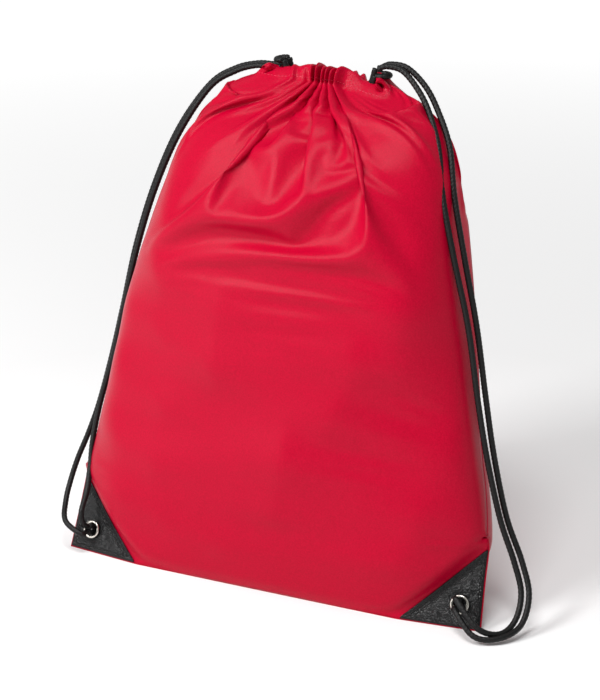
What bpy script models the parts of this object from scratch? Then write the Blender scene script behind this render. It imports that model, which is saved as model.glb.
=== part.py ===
"""Drawstring backpack, stuffed and drawn shut: two fabric panels, a cord tunnel along the mouth,
faux-leather corners with eyelets, and two drawcords that also serve as shoulder straps.

Metres, +Z up, the front faces -Y. The origin is under the middle of the bag, on the floor.
Run it with: blender --background --python part.py
"""

import math

import bmesh
import bpy
from mathutils import Matrix, Vector

# ---------------------------------------------------------------- driving dimensions
CORD_D = 0.0042  # braided cord
FABRIC = 0.0008  # a panel's wall
PATCH = 0.0007  # a corner patch's wall
GAP = 0.0003  # between pieces that touch
PANEL_GAP = 0.0004  # between the two panels where they lie on each other
FRONT_LINE_Y = -0.0576  # the line along which the front panel meets the floor
STRAND_CLEAR = 0.0022  # between a swinging strand's end and the cord that it continues
APPROACH = 0.0070  # over this length a strand runs straight at its eyelet
STUB_FRONT = 0.0062  # how far in front of the corner's middle the knotted ends reach
STUB_Y = 0.00225  # the two ends in an eyelet lie this far above and below its centre
KNOT_R = 0.0060
EAR = 0.062  # side of the flat corner triangle
EAR_MARGIN = 0.008  # the panels stay flat this far past the patch
EAR_FADE = 0.080  # over this much more the flat corner swells into the bag
SWEEP = 0.007  # how far back the corner's tip lies

EYELET_IN = 0.017  # eyelet centre from the side edge and from the bottom edge
EYELET_BORE_R = 0.0047
EYELET_BARREL_R = 0.0052
EYELET_FLANGE_R = 0.0070

HEM_HEIGHT = 0.014
HEM_DEPTH = 0.0072  # outside depth of the cord tunnel, front to back
HEM_WALL = 0.0008
HEM_GAP = 0.0016  # between a panel's top edge and the tunnel that tilts on it
MOUTH_X = 0.008  # how far right of the bottom's middle the mouth has come to lie
EXIT_X = 0.0355  # where the tunnels end, left and right of the mouth's middle
EXIT_Y = 0.0047  # tunnel centre from the mouth's centre line, at the exits
MOUTH_BULGE = 0.0065  # how much further out a tunnel's middle lies
RIM_HINGE_Y = 0.0085  # the rims tilt about lines this far in front of and behind the mouth's middle
RUN_RISE = 0.0026  # the two cords in a tunnel lie this far above and below its middle
TURN_REACH = 0.0100  # how far a cord's turn stands out of the tunnels
TURN_R = 0.0052  # radius of the turn's bend
TURN_LIFT = 0.0040  # how far the turn over the left strands bends up, clear of them

ROWS, COLUMNS = 22, 24  # of a panel's mesh
ROW_CROWDING = 1.25  # over 1 puts more rows at the bottom, where the corners are
FRONT_FULLNESS = 2.6  # exponent of the super-ellipse across the front
BACK_FULLNESS = 3.6
BASE_FLATNESS = 1.06  # over 1 makes the middle of the base a true plane
FRONT_LIFT = 0.0004  # the front panel's edge stays this far off the floor, and the back panel carries the bag

# Points of the fabric's three leading lines, from the bottom seam up to the neck. Depth counts from FRONT_LINE_Y.
SEAM_LINE = [
    (0.1670, 0.0070, 0.0000),
    (0.1650, 0.0196, 0.0300),
    (0.1630, 0.0322, 0.0600),
    (0.1570, 0.0410, 0.0900),
    (0.1500, 0.0465, 0.1200),
    (0.1415, 0.0530, 0.1600),
    (0.1340, 0.0590, 0.2000),
    (0.1245, 0.0660, 0.2400),
    (0.1110, 0.0745, 0.2850),
    (0.0970, 0.0820, 0.3170),
    (0.0820, 0.0900, 0.3410),
    (0.0650, 0.0965, 0.3540),
    (0.0500, 0.1005, 0.3600),
    (0.0380, 0.1025, 0.3620),
]
FRONT_LINE = [
    (0, 0.0000, 0.0000),
    (0, -0.0055, 0.0120),
    (0, -0.0070, 0.0500),
    (0, -0.0035, 0.1200),
    (0, 0.0060, 0.2000),
    (0, 0.0260, 0.2700),
    (0, 0.0580, 0.3250),
    (0, 0.0900, 0.3620),
]
BACK_LINE = [
    (0, 0.0000, 0.0000),
    (0, 0.0380, 0.0000),
    (0, 0.0760, 0.0000),
    (0, 0.0900, 0.0130),
    (0, 0.0985, 0.0600),
    (0, 0.1075, 0.1400),
    (0, 0.1160, 0.2200),
    (0, 0.1210, 0.2900),
    (0, 0.1205, 0.3300),
    (0, 0.1150, 0.3620),
]
FLOOR_END = 0.0761  # a profile's points no deeper than this, and low, stay flat on the floor

# Each drawcord leaves the tunnels as two strands, which go down the bag's side to the corner's eyelet.
# Points on the way, (x, depth, z), without the first in the tunnel and the last in the eyelet.
RIGHT_FRONT_STRAND = [
    (0.0520, 0.0985, 0.3755),
    (0.0640, 0.0990, 0.3730),
    (0.0770, 0.0950, 0.3620),
    (0.0880, 0.0890, 0.3480),
    (0.1010, 0.0747, 0.3271),
    (0.1110, 0.0590, 0.2966),
    (0.1230, 0.0510, 0.2577),
    (0.1365, 0.0470, 0.2097),
    (0.1460, 0.0440, 0.1600),
    (0.1560, 0.0400, 0.1172),
    (0.1690, 0.0345, 0.0760),
    (0.1815, 0.0310, 0.0473),
    (0.1900, 0.0240, 0.0270),
    (0.1900, 0.0120, 0.0110),
    (0.1830, -0.0010, 0.0055),
    (0.1690, -0.0085, 0.0110),
]
RIGHT_BACK_STRAND = [
    (0.0525, 0.1065, 0.3755),
    (0.0650, 0.1055, 0.3740),
    (0.0800, 0.1020, 0.3630),
    (0.0920, 0.0960, 0.3480),
    (0.1060, 0.0830, 0.3271),
    (0.1160, 0.0680, 0.2966),
    (0.1280, 0.0580, 0.2577),
    (0.1405, 0.0530, 0.2097),
    (0.1500, 0.0495, 0.1600),
    (0.1595, 0.0450, 0.1172),
    (0.1720, 0.0395, 0.0760),
    (0.1860, 0.0345, 0.0473),
    (0.1955, 0.0250, 0.0260),
    (0.1950, 0.0100, 0.0080),
    (0.1840, -0.0060, 0.0030),
    (0.1680, -0.0120, 0.0050),
]
LEFT_FRONT_STRAND = [
    (-0.0400, 0.0982, 0.3675),
    (-0.0510, 0.0985, 0.3670),
    (-0.0660, 0.0960, 0.3620),
    (-0.0830, 0.0890, 0.3500),
    (-0.1020, 0.0760, 0.3170),
    (-0.1180, 0.0660, 0.2750),
    (-0.1305, 0.0590, 0.2300),
    (-0.1405, 0.0530, 0.1830),
    (-0.1480, 0.0470, 0.1430),
    (-0.1555, 0.0400, 0.1100),
    (-0.1575, 0.0300, 0.0830),
    (-0.1560, 0.0220, 0.0640),
    (-0.1535, 0.0120, 0.0480),
    (-0.1520, -0.0005, 0.0350),
]
LEFT_BACK_STRAND = [
    (-0.0400, 0.1072, 0.3675),
    (-0.0520, 0.1065, 0.3672),
    (-0.0680, 0.1030, 0.3630),
    (-0.0860, 0.0960, 0.3510),
    (-0.1060, 0.0835, 0.3190),
    (-0.1220, 0.0730, 0.2770),
    (-0.1345, 0.0650, 0.2310),
    (-0.1440, 0.0590, 0.1830),
    (-0.1520, 0.0530, 0.1430),
    (-0.1600, 0.0460, 0.1070),
    (-0.1665, 0.0390, 0.0830),
    (-0.1720, 0.0310, 0.0640),
    (-0.1745, 0.0230, 0.0480),
    (-0.1730, 0.0120, 0.0350),
    (-0.1660, -0.0010, 0.0250),
]

RED = (0.62, 0.005, 0.045, 1)
BLACK_LEATHER = (0.022, 0.022, 0.024, 1)
BLACK_CORD = (0.012, 0.012, 0.012, 1)
NICKEL = (0.75, 0.72, 0.66, 1)


# ---------------------------------------------------------------- scene and materials
def clear_scene():
    for obj in list(bpy.data.objects):
        bpy.data.objects.remove(obj)


def new_collection(name):
    collection = bpy.data.collections.new(name)
    bpy.context.scene.collection.children.link(collection)
    return collection


def material(name, colour, roughness, metallic=0.0):
    made = bpy.data.materials.new(name)
    made.use_nodes = True
    shader = made.node_tree.nodes["Principled BSDF"]
    shader.inputs["Base Color"].default_value = colour
    shader.inputs["Roughness"].default_value = roughness
    shader.inputs["Metallic"].default_value = metallic
    return made


clear_scene()
BAG = new_collection("drawstring_backpack")
CUTTERS = new_collection("cutters")
FABRIC_MATERIAL = material("red_polyester", RED, 0.4)
LEATHER_MATERIAL = material("black_faux_leather", BLACK_LEATHER, 0.35)
CORD_MATERIAL = material("black_cord", BLACK_CORD, 0.8)
NICKEL_MATERIAL = material("nickel", NICKEL, 0.2, 1.0)


def add(name, data, surface, collection=BAG):
    obj = bpy.data.objects.new(name, data)
    collection.objects.link(obj)
    if data is not None and surface is not None:
        data.materials.append(surface)
    return obj


def as_helper(obj):
    obj.hide_render = True
    obj.display_type = "WIRE"
    return obj


# ---------------------------------------------------------------- curves through points
def even(count):
    return [k / (count - 1) for k in range(count)]


def curve_through(points, shares):
    """The points that lie at the given shares of the length of the Catmull-Rom curve through points."""
    p = [Vector(q) for q in points]
    p = [2 * p[0] - p[1], *p, 2 * p[-1] - p[-2]]
    fine = []
    steps = 24
    for a, b, c, d in zip(p, p[1:], p[2:], p[3:]):
        for k in range(steps):
            t = k / steps
            fine.append(
                0.5 * (2 * b + (c - a) * t + (2 * a - 5 * b + 4 * c - d) * t**2 + (3 * b - a - 3 * c + d) * t**3)
            )
    fine.append(p[-2])
    lengths = [0.0]
    for a, b in zip(fine, fine[1:]):
        lengths.append(lengths[-1] + (b - a).length)
    spaced = []
    i = 0
    for share in shares:
        want = lengths[-1] * share
        while i < len(fine) - 2 and lengths[i + 1] < want:
            i += 1
        between = (want - lengths[i]) / (lengths[i + 1] - lengths[i])
        spaced.append(fine[i].lerp(fine[i + 1], between))
    return spaced


def tube(name, points, radius=CORD_D / 2, collection=BAG):
    """A round cord along points that are already close together."""
    curve = bpy.data.curves.new(name, "CURVE")
    curve.dimensions = "3D"
    curve.bevel_depth = radius
    curve.bevel_resolution = 2
    curve.use_fill_caps = True
    spline = curve.splines.new("POLY")
    spline.points.add(len(points) - 1)
    for point, place in zip(spline.points, points):
        point.co = (*place, 1)
    return add(name, curve, CORD_MATERIAL, collection)


def made_mesh(obj):
    """Turns a curve object into a mesh object of the same name, with its caps welded on."""
    name = obj.name
    graph = bpy.context.evaluated_depsgraph_get()
    mesh = bpy.data.meshes.new_from_object(obj.evaluated_get(graph))
    place = obj.matrix_world.copy()
    collection = obj.users_collection[0]
    bpy.data.objects.remove(obj)
    shape = bmesh.new()
    shape.from_mesh(mesh)
    bmesh.ops.remove_doubles(shape, verts=shape.verts, dist=1e-5)
    bmesh.ops.recalc_face_normals(shape, faces=shape.faces)
    shape.to_mesh(mesh)
    shape.free()
    made = bpy.data.objects.new(name, mesh)
    collection.objects.link(made)
    made.matrix_world = place
    return made


def join_or_cut(obj, other, operation):
    as_helper(other)
    boolean = obj.modifiers.new(operation.lower(), "BOOLEAN")
    boolean.operation = operation
    boolean.solver = "EXACT"
    boolean.object = other


# ---------------------------------------------------------------- fabric panels
def smoothstep(x):
    x = min(1.0, max(0.0, x))
    return x * x * (3 - 2 * x)


def section_point(seam, centre, angle, fullness, along, outwards):
    """A point of a panel's outer face: on the side seam at angle +-90 degrees, at full depth at 0."""
    across = math.copysign(abs(math.sin(angle)) ** (2 / fullness), angle)
    x = seam.x * across
    inwards = seam.x - abs(x)
    lean = MOUTH_X * smoothstep(2 * seam.z / SEAM_LINE[-1][2] - 1)
    flat_y = seam.y - SWEEP * min(1.0, inwards / EAR)
    swell = abs(math.cos(angle)) ** (2 / fullness)
    swell *= smoothstep((inwards + along - EAR - EAR_MARGIN) / EAR_FADE)
    y = flat_y + (centre.y - flat_y) * swell
    z = seam.z + (centre.z - seam.z) * min(1.0, BASE_FLATNESS * swell)
    if outwards < 0:
        z += FRONT_LIFT
    return Vector((x + lean, FRONT_LINE_Y + y + outwards * (FABRIC + PANEL_GAP / 2), z))


def panel(name, centre_line, fullness, outwards):
    """One panel, lofted between the side seams and its centre line. outwards is -1 for the front."""
    shares = [s**ROW_CROWDING for s in even(ROWS + 1)]
    seams = curve_through(SEAM_LINE, shares)
    centres = curve_through(centre_line, shares)
    for centre in centres:
        if centre.z < 0.002 and centre.y < FLOOR_END:
            centre.z = 0.0
    seam_length = sum((b - a).length for a, b in zip(seams, seams[1:]))
    shape = bmesh.new()
    grid = []
    for share, seam, centre in zip(shares, seams, centres):
        along = seam_length * share
        angles = [math.pi * (k / COLUMNS - 0.5) for k in range(COLUMNS + 1)]
        grid.append(
            [shape.verts.new(section_point(seam, centre, a, fullness, along, outwards)) for a in angles]
        )
    for low, high in zip(grid, grid[1:]):
        for k in range(COLUMNS):
            corners = [low[k], low[k + 1], high[k + 1], high[k]]
            shape.faces.new(corners if outwards < 0 else corners[::-1])
    mesh = bpy.data.meshes.new(name)
    shape.to_mesh(mesh)
    shape.free()
    mesh.shade_smooth()
    obj = add(name, mesh, FABRIC_MATERIAL)
    wall = obj.modifiers.new("wall", "SOLIDIFY")
    wall.thickness = FABRIC
    wall.offset = -1
    return obj


# ---------------------------------------------------------------- corners: patches, eyelets and their frames
def corner_frame(side):
    """Matrix of a corner's flat: origin at its tip, X inwards along the bottom, Y up the side, Z out of the front."""
    tip, up_point = Vector(SEAM_LINE[0]), Vector(SEAM_LINE[1])
    inwards = Vector((-EAR, -SWEEP, 0)).normalized()
    out = (up_point - tip).cross(inwards).normalized()
    up = inwards.cross(out)
    tip.y += FRONT_LINE_Y
    frame = Matrix.Identity(4)
    for column, axis in enumerate((inwards, up, out)):
        frame.col[column] = (*axis, 0)
    frame.col[3] = (*tip, 1)
    return Matrix.Diagonal((side, 1, 1, 1)) @ frame if side < 0 else frame


def in_corner(side, x, y, out):
    return corner_frame(side) @ Vector((x, y, out))


LAYERS = FABRIC + PANEL_GAP / 2  # from the middle of the corner to a panel's outer face
PATCH_IN = LAYERS + GAP
PATCH_OUT = PATCH_IN + PATCH


def placed(obj, frame):
    """Moves a mesh object's points by a frame, turning the faces round where the frame mirrors."""
    obj.data.transform(frame)
    if frame.determinant() < 0:
        obj.data.flip_normals()
    return obj


def patch(name, side, front):
    """A triangle of faux leather with rounded tips, lying on the flat of a corner."""
    inset, tip = 0.0014, 0.003
    outline = [
        (inset, inset),
        (EAR - 2 * tip, inset),
        (EAR - tip, inset + 0.4 * tip),
        (EAR - 1.6 * tip, inset + tip),
        (inset + tip, EAR - 1.6 * tip),
        (inset + 0.4 * tip, EAR - tip),
        (inset, EAR - 2 * tip),
    ]
    curve = bpy.data.curves.new(name, "CURVE")
    curve.dimensions = "2D"
    curve.fill_mode = "BOTH"
    curve.extrude = PATCH / 2
    spline = curve.splines.new("POLY")
    spline.points.add(len(outline) - 1)
    spline.use_cyclic_u = True
    for point, (x, y) in zip(spline.points, outline):
        point.co = (x, y, 0, 1)
    obj = made_mesh(add(name, curve, LEATHER_MATERIAL))
    middle = (PATCH_IN + PATCH / 2) * (1 if front else -1)
    return placed(obj, corner_frame(side) @ Matrix.Translation((0, 0, middle)))


def turned(name, profile, side):
    """A ring turned about an eyelet's axis, from a closed profile of (radius, height out of the front)."""
    mesh = bpy.data.meshes.new(name)
    mesh.from_pydata(
        [(r, 0, z) for r, z in profile],
        [(k, (k + 1) % len(profile)) for k in range(len(profile))],
        [],
    )
    obj = add(name, mesh, NICKEL_MATERIAL)
    screw = obj.modifiers.new("turn", "SCREW")
    screw.steps = 28
    screw.render_steps = 28
    screw.merge_threshold = 0.00001
    screw.use_merge_vertices = True
    obj.matrix_world = eyelet_frame(side)
    return obj


def eyelet_frame(side):
    """Rotation and place of an eyelet: Z out of the front of its corner. It holds no mirroring."""
    mirrored = corner_frame(side)
    out = mirrored.col[2].to_3d()
    up = mirrored.col[1].to_3d()
    frame = Matrix.Identity(4)
    for column, axis in enumerate((up.cross(out), up, out)):
        frame.col[column] = (*axis, 0)
    frame.col[3] = (*in_corner(side, EYELET_IN, EYELET_IN, 0), 1)
    return frame


def eyelet(prefix, side):
    seat = PATCH_OUT + GAP
    flange = 0.0013
    end = -(seat + 0.0014)
    turned(
        prefix + "_eyelet",
        [
            (EYELET_BORE_R, seat + 0.8 * flange),
            (EYELET_BORE_R + 0.0006, seat + flange),
            (EYELET_FLANGE_R - 0.0009, seat + 0.8 * flange),
            (EYELET_FLANGE_R, seat + 0.2 * flange),
            (EYELET_FLANGE_R - 0.0001, seat),
            (EYELET_BARREL_R, seat),
            (EYELET_BARREL_R, end),
            (EYELET_BORE_R, end),
        ],
        side,
    )
    inner, thick = EYELET_BARREL_R + GAP, 0.0008
    turned(
        prefix + "_eyelet_washer",
        [
            (inner, -seat),
            (EYELET_FLANGE_R, -seat),
            (EYELET_FLANGE_R, -seat - 0.6 * thick),
            (EYELET_FLANGE_R - 0.0006, -seat - thick),
            (inner, -seat - thick),
        ],
        side,
    )


def eyelet_cutter(side):
    bpy.ops.mesh.primitive_cylinder_add(vertices=28, radius=EYELET_BARREL_R + GAP, depth=0.02)
    cutter = bpy.context.active_object
    cutter.name = "eyelet_cutter_" + ("right" if side > 0 else "left")
    for collection in list(cutter.users_collection):
        collection.objects.unlink(cutter)
    CUTTERS.objects.link(cutter)
    cutter.matrix_world = eyelet_frame(side)
    return as_helper(cutter)


# ---------------------------------------------------------------- mouth: cord tunnels and what runs in them
MOUTH_Y = FRONT_LINE_Y + SEAM_LINE[-1][1]
TOP_Z = SEAM_LINE[-1][2]
HEM_Z = TOP_Z + HEM_GAP + HEM_HEIGHT / 2


def hem_line(front, count=17, end_x=EXIT_X):
    """The middle of a tunnel, from its left end to its right end, bowed outwards in plan."""
    outward = -1 if front else 1
    line = []
    for k in range(count):
        x = end_x * (2 * k / (count - 1) - 1)
        bow = (1 - (x / EXIT_X) ** 2) ** 2
        line.append(Vector((MOUTH_X + x, MOUTH_Y + outward * (EXIT_Y + MOUTH_BULGE * bow), HEM_Z)))
    return line


def hem(name, front):
    """A cord tunnel: a flattened tube of fabric, open at both ends."""
    rows = hem_line(front)
    half_d, half_h = HEM_DEPTH / 2 - HEM_WALL / 2, HEM_HEIGHT / 2 - HEM_WALL / 2
    round_off = 0.75
    shape = bmesh.new()
    rings = []
    for k, place in enumerate(rows):
        ahead = (rows[min(k + 1, len(rows) - 1)] - rows[max(k - 1, 0)]).normalized()
        across = Vector((0, 0, 1)).cross(ahead)
        ring = []
        for corner in range(12):
            a = 2 * math.pi * corner / 12
            c, s = math.cos(a), math.sin(a)
            c, s = (math.copysign(abs(v) ** round_off, v) for v in (c, s))
            ring.append(shape.verts.new(place + across * (half_d * c) + Vector((0, 0, half_h * s))))
        rings.append(ring)
    for a, b in zip(rings, rings[1:]):
        for k in range(12):
            m = (k + 1) % 12
            shape.faces.new((a[k], a[m], b[m], b[k]))
    bmesh.ops.recalc_face_normals(shape, faces=shape.faces)
    mesh = bpy.data.meshes.new(name)
    shape.to_mesh(mesh)
    shape.free()
    mesh.shade_smooth()
    obj = add(name, mesh, FABRIC_MATERIAL)
    wall = obj.modifiers.new("wall", "SOLIDIFY")
    wall.thickness = HEM_WALL
    wall.offset = 0
    return obj


def cord_run(name, front, rise):
    """A cord's stretch inside a tunnel."""
    line = hem_line(front, 17)
    tube(name, [p + Vector((0, 0, rise)) for p in line])


def turn(name, side, rise, lift):
    """Where a cord that leaves one tunnel turns round and goes into the other, its bend lifted by lift."""
    x = MOUTH_X + side * (EXIT_X + GAP)
    run_in = TURN_REACH - TURN_R
    loop = [(0, -EXIT_Y), (run_in / 2, -EXIT_Y)]
    loop += [(run_in + TURN_R * math.cos(a), TURN_R * math.sin(a)) for a in map(math.radians, range(-90, 91, 30))]
    loop += [(run_in / 2, EXIT_Y), (0, EXIT_Y)]
    points = [
        Vector((x + side * out, MOUTH_Y + y, HEM_Z + rise + lift * smoothstep(1.6 * out / TURN_REACH - 0.6)))
        for out, y in loop
    ]
    tube(name, curve_through(points, even(13)))


# ---------------------------------------------------------------- strands and knots
KNOT_FRONT = -(PATCH_OUT + GAP + 0.0014 + GAP)  # the knot sits behind the eyelet's barrel


def knot(name, side):
    """The cord's two ends, through the eyelet and tied together behind it."""
    stubs = []
    for k in (-1, 1):
        points = [(EYELET_IN, EYELET_IN + k * STUB_Y, out) for out in (STUB_FRONT, 0, KNOT_FRONT - 0.003)]
        stub = tube("%s_stub_%d" % (name, k), [in_corner(side, *p) for p in points], collection=CUTTERS)
        stubs.append(made_mesh(stub))
    bpy.ops.mesh.primitive_uv_sphere_add(segments=16, ring_count=10, radius=KNOT_R)
    ball = bpy.context.active_object
    for collection in list(ball.users_collection):
        collection.objects.unlink(ball)
    ball.name = name
    BAG.objects.link(ball)
    ball.data.transform(Matrix.Diagonal((1, 1, 0.85, 1)))
    ball.data.materials.append(CORD_MATERIAL)
    ball.data.shade_smooth()
    place = eyelet_frame(side) @ Matrix.Translation((0, 0, KNOT_FRONT - 0.85 * KNOT_R))
    ball.matrix_world = place
    for stub in stubs:
        join_or_cut(ball, stub, "UNION")


def strand(name, side, front, points, rise, stub_side):
    """One strand, from the tunnel's end down to the eyelet, with round ends so that it can swing."""
    exit_y = MOUTH_Y + (-1 if front else 1) * EXIT_Y
    start = Vector((MOUTH_X + side * (EXIT_X + STRAND_CLEAR), exit_y, HEM_Z + rise))
    way = [start] + [Vector((x, FRONT_LINE_Y + depth, z)) for x, depth, z in points]
    for spread, ahead in ((1.7, APPROACH), (1, 0)):
        up_side = EYELET_IN + stub_side * STUB_Y * spread
        way.append(in_corner(side, EYELET_IN, up_side, STUB_FRONT + STRAND_CLEAR + ahead))
    line = curve_through(way, even(50))
    tube(name, line)


# ---------------------------------------------------------------- joints
def pivot(name, place, pieces):
    """An empty on a joint's axis, which carries the pieces that turn about it."""
    empty = add(name, None, None)
    empty.empty_display_size = 0.02
    empty.location = place
    for piece in pieces:
        obj = bpy.data.objects[piece]
        obj.parent = empty
        obj.matrix_parent_inverse = Matrix.Translation(place).inverted()


def rim_pivots():
    for name, outward in (("front", -1), ("back", 1)):
        place = Vector((MOUTH_X, MOUTH_Y + outward * RIM_HINGE_Y, TOP_Z))
        runs = [side + "_cord_" + name + "_run" for side in ("left", "right")]
        pivot(name + "_rim_hinge", place, [name + "_cord_tunnel", *runs])


def strap_pivots():
    """A strap turns about the line from its front strand's start to its eyelet."""
    for name in ("left", "right"):
        strands = [name + "_cord_front_strand", name + "_cord_back_strand"]
        start = Vector(bpy.data.objects[strands[0]].data.splines[0].points[0].co[:3])
        pivot(name + "_strap_swing", start, strands)


# ---------------------------------------------------------------- assembly
def build():
    panel("front_panel", FRONT_LINE, FRONT_FULLNESS, -1)
    panel("back_panel", BACK_LINE, BACK_FULLNESS, 1)
    hem("front_cord_tunnel", True)
    hem("back_cord_tunnel", False)
    cord_run("left_cord_front_run", True, -RUN_RISE)
    cord_run("left_cord_back_run", False, -RUN_RISE)
    cord_run("right_cord_front_run", True, RUN_RISE)
    cord_run("right_cord_back_run", False, RUN_RISE)
    for prefix, side in (("left", -1), ("right", 1)):
        cutter = eyelet_cutter(side)
        pieces = [patch(prefix + "_front_patch", side, True), patch(prefix + "_back_patch", side, False)]
        pieces += [bpy.data.objects["front_panel"], bpy.data.objects["back_panel"]]
        for piece in pieces:
            join_or_cut(piece, cutter, "DIFFERENCE")
        eyelet(prefix, side)
        knot(prefix + "_knot", side)
    turn("left_cord_turn", 1, -RUN_RISE, 0)
    turn("right_cord_turn", -1, RUN_RISE, TURN_LIFT)
    strand("right_cord_front_strand", 1, True, RIGHT_FRONT_STRAND, RUN_RISE, 1)
    strand("right_cord_back_strand", 1, False, RIGHT_BACK_STRAND, RUN_RISE, -1)
    strand("left_cord_front_strand", -1, True, LEFT_FRONT_STRAND, -RUN_RISE, 1)
    strand("left_cord_back_strand", -1, False, LEFT_BACK_STRAND, -RUN_RISE, -1)
    rim_pivots()
    strap_pivots()


build()
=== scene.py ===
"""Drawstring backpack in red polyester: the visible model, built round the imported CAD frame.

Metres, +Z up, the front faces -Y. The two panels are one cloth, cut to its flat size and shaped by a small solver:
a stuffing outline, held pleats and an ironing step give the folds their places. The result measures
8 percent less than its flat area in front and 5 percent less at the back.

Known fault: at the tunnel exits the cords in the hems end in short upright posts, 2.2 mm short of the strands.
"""

import math

import bmesh
import bpy
import numpy as np
from mathutils import Matrix, Vector


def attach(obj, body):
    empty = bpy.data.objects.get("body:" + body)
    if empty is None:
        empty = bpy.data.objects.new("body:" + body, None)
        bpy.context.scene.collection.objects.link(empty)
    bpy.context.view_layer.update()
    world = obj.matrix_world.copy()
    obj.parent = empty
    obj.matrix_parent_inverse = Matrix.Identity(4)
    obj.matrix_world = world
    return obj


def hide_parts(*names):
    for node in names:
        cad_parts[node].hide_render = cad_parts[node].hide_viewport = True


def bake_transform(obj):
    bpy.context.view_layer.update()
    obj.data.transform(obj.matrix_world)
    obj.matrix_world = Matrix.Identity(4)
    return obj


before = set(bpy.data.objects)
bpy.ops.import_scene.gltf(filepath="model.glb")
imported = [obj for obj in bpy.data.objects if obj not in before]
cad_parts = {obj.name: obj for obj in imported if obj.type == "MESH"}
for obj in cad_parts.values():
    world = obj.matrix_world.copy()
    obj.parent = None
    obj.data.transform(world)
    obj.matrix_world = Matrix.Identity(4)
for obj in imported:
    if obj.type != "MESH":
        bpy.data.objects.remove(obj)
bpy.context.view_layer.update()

# ---------------------------------------------------------------- sizes shared with the CAD
CORD_D = 0.0042
FABRIC = 0.0008
PATCH = 0.0007
GAP = 0.0003
PANEL_GAP = 0.0004
FRONT_LINE_Y = -0.0576
EAR = 0.062
EAR_MARGIN = 0.008
EAR_FADE = 0.080
SWEEP = 0.007
EYELET_IN = 0.017
EYELET_FLANGE_R = 0.0070
EYELET_BORE_R = 0.0047
LAYERS = FABRIC + PANEL_GAP / 2
PATCH_IN = LAYERS + GAP
PATCH_OUT = PATCH_IN + PATCH
TOP_Z = 0.362
HEM_HEIGHT = 0.014
HEM_GAP = 0.0016
HEM_Z = TOP_Z + HEM_GAP + HEM_HEIGHT / 2
MOUTH_X = 0.008
MOUTH_Y = FRONT_LINE_Y + 0.1025
EXIT_X = 0.0355
EXIT_Y = 0.0047
RUN_RISE = 0.0026
TURN_R = 0.0052
STRAND_CLEAR = 0.0022
APPROACH = 0.0070
STUB_FRONT = 0.0062
STUB_Y = 0.00225

# ---------------------------------------------------------------- the cloth's flat pattern
CLOTH_W = 0.336
CLOTH_L = 0.424  # bottom seam to the cord tunnel's stitch line
HEM_CLOTH = 0.016
HOLLOW = 0.012  # how far the stuffing falls back under the middle of the gathered front
SHARPEST = 0.00007  # ironing leaves a point alone when it lies this near its four neighbours' middle
HOLE_R = 0.0058  # the hole in a panel or patch, round an eyelet's barrel
PANEL_WALL = 0.0004  # the visible fabric's thickness
LEATHER_FACE = 0.00025 + PATCH  # a patch's outer face, off the fabric's surface

SEAM_LINE = [
    (0.1670, 0.0070, 0.0000), (0.1650, 0.0196, 0.0300), (0.1630, 0.0322, 0.0600), (0.1570, 0.0410, 0.0900),
    (0.1500, 0.0465, 0.1200), (0.1415, 0.0530, 0.1600), (0.1340, 0.0590, 0.2000), (0.1245, 0.0660, 0.2400),
    (0.1110, 0.0745, 0.2850), (0.0970, 0.0820, 0.3170), (0.0820, 0.0900, 0.3410), (0.0650, 0.0965, 0.3540),
    (0.0500, 0.1005, 0.3600), (0.0380, 0.1025, 0.3630),
]  # fmt: skip
FRONT_LINE = [
    (0, 0.0000, 0.0000), (0, -0.0055, 0.0120), (0, -0.0070, 0.0500), (0, -0.0045, 0.1200),
    (0, 0.0020, 0.2000), (0, 0.0115, 0.2700), (0, 0.0340, 0.3260), (0, 0.0900, 0.3630),
]  # fmt: skip
BACK_LINE = [
    (0, 0.0000, 0.0000), (0, 0.0380, 0.0000), (0, 0.0620, 0.0015), (0, 0.0810, 0.0170), (0, 0.0920, 0.0650),
    (0, 0.1015, 0.1400), (0, 0.1100, 0.2200), (0, 0.1145, 0.2900), (0, 0.1155, 0.3300), (0, 0.1150, 0.3630),
]  # fmt: skip


def smoothstep(x):
    x = np.clip(x, 0.0, 1.0)
    return x * x * (3 - 2 * x)


def catmull(points, steps=24):
    """A fine polyline on the Catmull-Rom curve through points."""
    p = [np.array(q, float) for q in points]
    p = [2 * p[0] - p[1], *p, 2 * p[-1] - p[-2]]
    fine = []
    for a, b, c, d in zip(p, p[1:], p[2:], p[3:]):
        t = (np.arange(steps) / steps)[:, None]
        fine.append(
            0.5 * (2 * b + (c - a) * t + (2 * a - 5 * b + 4 * c - d) * t**2 + (3 * b - a - 3 * c + d) * t**3)
        )
    return np.vstack([*fine, p[-2][None]])


def run_lengths(line):
    return np.r_[0.0, np.cumsum(np.linalg.norm(np.diff(line, axis=0), axis=1))]


def along(line, shares):
    """The points at the given shares of a polyline's length."""
    lengths = run_lengths(line)
    want = np.asarray(shares) * lengths[-1]
    return np.stack([np.interp(want, lengths, line[:, k]) for k in range(line.shape[1])], axis=-1)


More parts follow.
